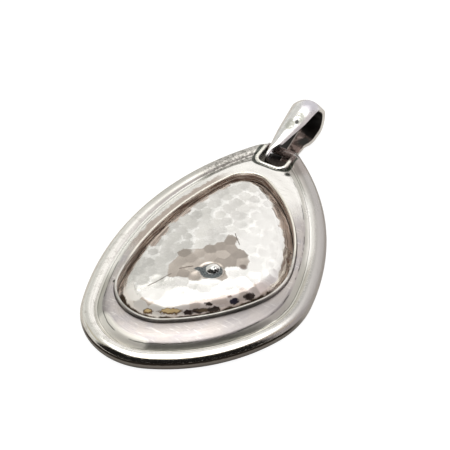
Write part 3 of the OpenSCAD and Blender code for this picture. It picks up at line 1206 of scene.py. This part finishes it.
colour = coats(
    mix(on_rim, (0.55, 0.54, 0.50), rim_silver),
    (mottled, far_colour, 0.85),
    (on_band, satin),
    (past_tip, (0.38, 0.34, 0.325), 0.85),
    (low_left, (0.74, 0.72, 0.67)),
    (times(lit_groove, ramp(low_left, 0.5, 0)), (1, 0.99, 0.97)),
    (white_groove, (0.96, 0.96, 0.93)),
    (brown_crease, (0.38, 0.31, 0.265), 0.85),
    (groove_shade_lines, DARK_GREEN, 0.85),
    (crease, (0.06, 0.055, 0.045), 0.8),
    (on_bezel, bezel_colour),
    (wire_outline_shadow, DARK_GREEN),
    (ramp(wire, 0.15, 0.4), (0.95, 0.94, 0.87)),
    (shade_in_hole, (0.035, 0.036, 0.03)),
    (darker_parts, bar_colour),
    (spot(at, (3.75, 20.1, 2.7), (0.5, 0.62, 0.9)), DARK_SPOT),
    (spot(at, (-7.3, -14.6, 3.1), (0.3, 0.3, 0.4)), DARK_SPOT),
)
# Not metal: the mottled far rim, the bar, the brown crease, the painted reflections on the bezel wall,
# the painted shadow round the wire and the painted light in the groove
non_metal = most(
    times(most(times(inner_wall, on_top), mottled), 0.65),
    darker_parts,
    wire_outline_shadow,
    times(most(lit_groove, times(white_groove, 0.7)), 0.8),
    times(brown_crease, 0.75),
)
rough = plus(
    minus(ramp(polished_sheen, 0, 1, 0.34, 0.2), times(on_rim, 0.21)),
    times(to_right, 0.22),
    ramp(grain, 0.35, 0.7, -0.05, 0.08),
    times(groove_shade_lines, 0.2),
)
dress(body, frame_finish, colour, times(non_metal, 0.85), rough, plus(grain, times(wear, -0.6)), 0.25)

# %% [markdown]
# The plate is brighter than the band. The hammer's face polished each hollow a little
# differently, so every blow has its own tone. The ridges are worn white. Where the plate dips
# behind the bezel nobody can polish it: it is brown along the far edge. Along the near edge it is
# pink-beige, with amber and black facets that are painted reflections.

# %% Hammered plate: where the coats go
DARK_BROWN = (0.045, 0.032, 0.028)
DEEP_BROWN = (0.20, 0.13, 0.07)
AMBER = (0.95, 0.72, 0.38)
# Dark brown and amber facets along the near edge, painted as reflections: place on the photograph's
# axes, size and colour
EDGE_FACETS = [
    ((-8.7, -15.5, 3.35), (0.95, 0.42), DEEP_BROWN),
    ((-8.8, -15.45, 3.4), (0.65, 0.26), AMBER),
    ((-5.2, -15.7, 3.5), (1.65, 0.5), DEEP_BROWN),
    ((-5.2, -15.65, 3.55), (1.3, 0.32), AMBER),
    ((-2.6, -15.75, 3.3), (0.8, 0.36), DARK_BROWN),
    ((-1.15, -15.55, 3.3), (1.05, 0.42), DARK_BROWN),
    ((-0.2, -15.35, 3.3), (1.5, 0.3), (0.16, 0.12, 0.08)),
    ((0.35, -14.55, 3.8), (0.55, 0.4), DARK_BROWN),
    ((1.4, -15.1, 3.2), (1.2, 0.42), DARK_BROWN),
    ((3.4, -13.3, 3.9), (0.6, 0.32), (0.25, 0.18, 0.15)),
    ((4.25, -13.8, 3.5), (0.8, 0.5), (0.035, 0.03, 0.05)),
    ((6.5, -12.8, 3.45), (1.0, 0.55), DARK_BROWN),
]
# Dark strokes on the plate: first place, last place and width
STROKES = [
    ((4.2, 1.9), (6.2, -0.1), 0.13),
    ((-1.8, -14.4), (0.3, -10.2), 0.12),
    ((0.6, -9.0), (2.4, -7.4), 0.16),
]

plate_finish, at = new_finish("hammered_silver")
seen = turned(at)
seen_x, seen_y = axes(seen, "XY")
tone = number("tone")
ridge = number("ridge")
from_edge = number("from_edge")
in_moat = number("moat")
cloud = noise_at(at, 0.22, 4)
grain = noise_at(at, 4.5, 4, 0.65)

# Painted sheen: the right side of the plate is lighter
right_sheen = ramp(uneven(at, axes(at)[0], 4, 0.3), 1, 7)
web = ramp(uneven(at, ridge, 0.7, 2.2), 0.45, 0.7, 0, 0.92)
hazy = ramp(noise_at(at, 1.7, 5, 0.7), 0.5, 0.62, 0, 0.4)
# The painted beige reflection, fainter on the ridges
beige_reflection_colour = mix(tone, (0.30, 0.26, 0.225), (0.52, 0.46, 0.41))
in_beige_reflection = times(number("beige_reflection"), ramp(ridge, 0.5, 1, 0.9, 0.55))
edge_wander = uneven(at, from_edge, 0.9, 0.8)
far_brown = times(number("far_brown"), ramp(uneven(at, from_edge, 0.8, 1.2), 2.6, 2.3))
far_streaks = ramp(along_the_line(at, from_edge, 3), 0.44, 0.56)
far_colour = mix(far_streaks, (0.58, 0.47, 0.40), (0.20, 0.15, 0.12))

front = ramp(seen_y, -9.5, -11.5)
# Along the near edge: a pink-beige coat with dark and amber facets painted as reflections
near_edge_coat = times(front, ramp(edge_wander, 2.6, 2.1))
dull_blows = times(ramp(tone, 0.6, 0.65, 0, 0.5), ramp(seen_x, -7, -2))
near_edge_colour = coats(
    mix(ramp(seen_x, -6, 0), (1.0, 0.97, 0.93), (0.84, 0.75, 0.72)),
    (dull_blows, (0.60, 0.50, 0.44)),
    (ramp(ridge, 0.75, 0.95, 0, 0.7), (0.42, 0.32, 0.24)),
    *((spot(seen, place, (*size, size[1]), 0.2, 1.5), facet_colour) for place, size, facet_colour in EDGE_FACETS),
    (times(front, ramp(uneven(at, from_edge, 0.5, 1.2), 0.85, 0.65)), (0.07, 0.05, 0.035)),
)
# Painted highlight: a white patch low on the left of the plate
lower_left_highlight = spot(seen, (-7, -13.3, 4), (4.2, 1.7, 3), 0.4, 0.8)
print("plate:", len(tree.nodes), "nodes so far, with", len(EDGE_FACETS), "facets")

# %% Finish of the hammered plate
knob_x = KNOB.x * right.x + KNOB.y * right.y
knob_y = KNOB.y * right.x - KNOB.x * right.y
# Painted shade: the moat round the knob is painted dark, with a painted shadow left of the knob
knob_shadow = spot(seen, (knob_x - 1.8, knob_y - 0.1, 4.7), (1, 0.42, 2), 0.2, 0.5)
moat_seen = most(ramp(uneven(at, in_moat, 0.25, 1.5), 0.15, 0.35), knob_shadow)
moat_shade_colour = mix(ramp(grain, 0.4, 0.6), (0.03, 0.04, 0.045), (0.16, 0.18, 0.185))
on_knob = ramp(uneven(at, number("knob"), 0.3, 1.8), 0.1, 0.3)
# Painted shade in dark specks on the knob's lower right
knob_shade_specks = spot(seen, (knob_x + 0.45, knob_y - 0.5, 5), (0.8, 0.6, 2), 0.3, 0.6)
knob_shade_specks = times(knob_shade_specks, ramp(noise_at(at, 3.2, 3), 0.4, 0.5))

colour = coats(
    mix(tone, (0.66, 0.65, 0.63), (0.84, 0.83, 0.80)),
    (ramp(cloud, 0.42, 0.6, 0, 0.5), (0.76, 0.745, 0.73)),
    (right_sheen, (0.96, 0.955, 0.945), 0.7),
    (web, (0.995, 0.99, 0.975)),
    (hazy, (0.93, 0.925, 0.91)),
    (in_beige_reflection, beige_reflection_colour),
    *((stroke(at, *line), (0.16, 0.13, 0.11)) for line in STROKES),
    (spot(at, (8.9, -3.8, 4.6), (0.6, 0.5, 0.9)), (0.25, 0.21, 0.19)),
    (ramp(edge_wander, 0.8, 0.2), (0.66, 0.59, 0.55), 0.85),
    (far_brown, far_colour, 0.9),
    (near_edge_coat, near_edge_colour),
    (times(lower_left_highlight, ramp(near_edge_coat, 0.5, 0)), (1, 0.99, 0.97)),
    (moat_seen, moat_shade_colour),
    (on_knob, mix(knob_shade_specks, (0.93, 0.92, 0.90), (0.12, 0.13, 0.13))),
)
moat_shade = minus(most(ramp(in_moat, 0.08, 0.2), knob_shadow), on_knob, clamp=True)
# Not metal: the painted shade in the moat, the near edge's coat, the painted highlight low on the left
# and the brown far edge
non_metal = most(times(moat_shade, 1.2), near_edge_coat, lower_left_highlight, far_brown)
rough = plus(ramp(grain, 0.35, 0.7, 0.14, 0.26), times(moat_shade, 0.45))
dress(plate, plate_finish, colour, times(non_metal, 0.75), rough, grain, 0.15)

# %% [markdown]
# The outside of the bail is rubbed bright by chain and fingers, with one dull patch, a pit and a
# painted lilac sheen over the top. Its inside is painted brown, and black where it is painted as
# shade, with a painted pink sheen, and a pale seam divides the brown from the black.

# %% Finish of the bail
bail_finish, at = new_finish("bail_silver")
side, along, height = axes(at)
grain = noise_at(at, 5, 4, 0.65)
cloud = noise_at(at, 0.8, 4)
# Painted reflection: a lilac sheen over the top of the bail
lilac_sheen = times(spot(at, (0.6, 33.9, 5.8), (1.5, 1.9, 1.7), 0.5, 0.3), ramp(height, 2, 3))
patch = most(spot(at, (-0.4, 28.6, 4.9), (0.8, 1.3, 1)), spot(at, (0.35, 30.3, 5.3), (0.75, 1.4, 1)))
dull = times(patch, ramp(noise_at(at, 1.6, 4), 0.32, 0.48))
pit = spot(at, (0.35, 29.5, 5.1), (0.3, 0.42, 0.6))
inner = ramp(number("inner_side"), 0.7, 0.9)
# Painted shade where the foot of the bail goes into the hole
foot_shade = times(ramp(height, 3.0, 2.7), ramp(along, 24.4, 23.9))

seam = plus(side, times(minus(along, 26.4), 0.09))
on_seam = times(near(seam, 0.05, 0.1), ramp(along, 32, 31.5))
unlit = ramp(uneven(at, plus(along, times(side, 0.6)), 1.2, 0.9), 31.5, 32.5)
unlit = most(unlit, ramp(seam, 0, -0.12))
blotches = ramp(noise_at(at, 1.3, 4), 0.42, 0.58)
# Painted sheen: a pink patch inside the bail; the black, unlit part of the inside is painted shade
pink_sheen = times(spot(at, (0.3, 31.2, 0.85), (0.8, 1, 1)), ramp(blotches, 0, 1, 0.35, 1))
inside_colour = coats(
    mix(blotches, (0.13, 0.085, 0.07), (0.42, 0.31, 0.28)),
    (spot(at, (1.8, 29.7, 1), (1.2, 1.2, 1), 0.6, 0.8), (0.05, 0.052, 0.048)),
    (pink_sheen, (0.86, 0.68, 0.64)),
    (stroke(at, (0.4, 27.3), (2.1, 26.7), 0.22), (0.02, 0.015, 0.013)),
    (unlit, (0.015, 0.012, 0.011)),
    (on_seam, (0.75, 0.70, 0.66)),
)
colour = coats(
    mix(ramp(cloud, 0.42, 0.62, 0, 0.6), (0.97, 0.965, 0.955), (0.82, 0.815, 0.82)),
    (lilac_sheen, (0.55, 0.535, 0.60), 0.9),
    (dull, (0.40, 0.41, 0.36), 0.85),
    (pit, (0.03, 0.03, 0.028)),
    (inner, inside_colour),
    (foot_shade, (0.05, 0.04, 0.035)),
)
# The painted inside and the painted lilac sheen are darker and rougher
darker_parts = most(inner, lilac_sheen)
# Not metal: the bail's painted inside, its painted lilac sheen, the painted shade at its foot, the pit
# and the dull patch
non_metal = most(times(darker_parts, 0.7), foot_shade, pit, dull)
rough = plus(ramp(grain, 0.35, 0.7, 0.1, 0.22), times(darker_parts, 0.2))
dress(bail, bail_finish, colour, times(non_metal, 0.8), rough, grain, 0.2)

# %% [markdown]
# Each modelled piece rides on the body of the solid that it stands for, and hides that solid.

# %% Hand over the pieces
for piece, rides_on, stands_for, finish in (
    (body, "pendant", "frame", "frame_silver"),
    (plate, "pendant", "hammered_dome", "hammered_silver"),
    (bail, "bail", "bail", "bail_silver"),
):
    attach(piece, rides_on)
    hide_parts(stands_for)
    print(piece.name, "rides on", rides_on)
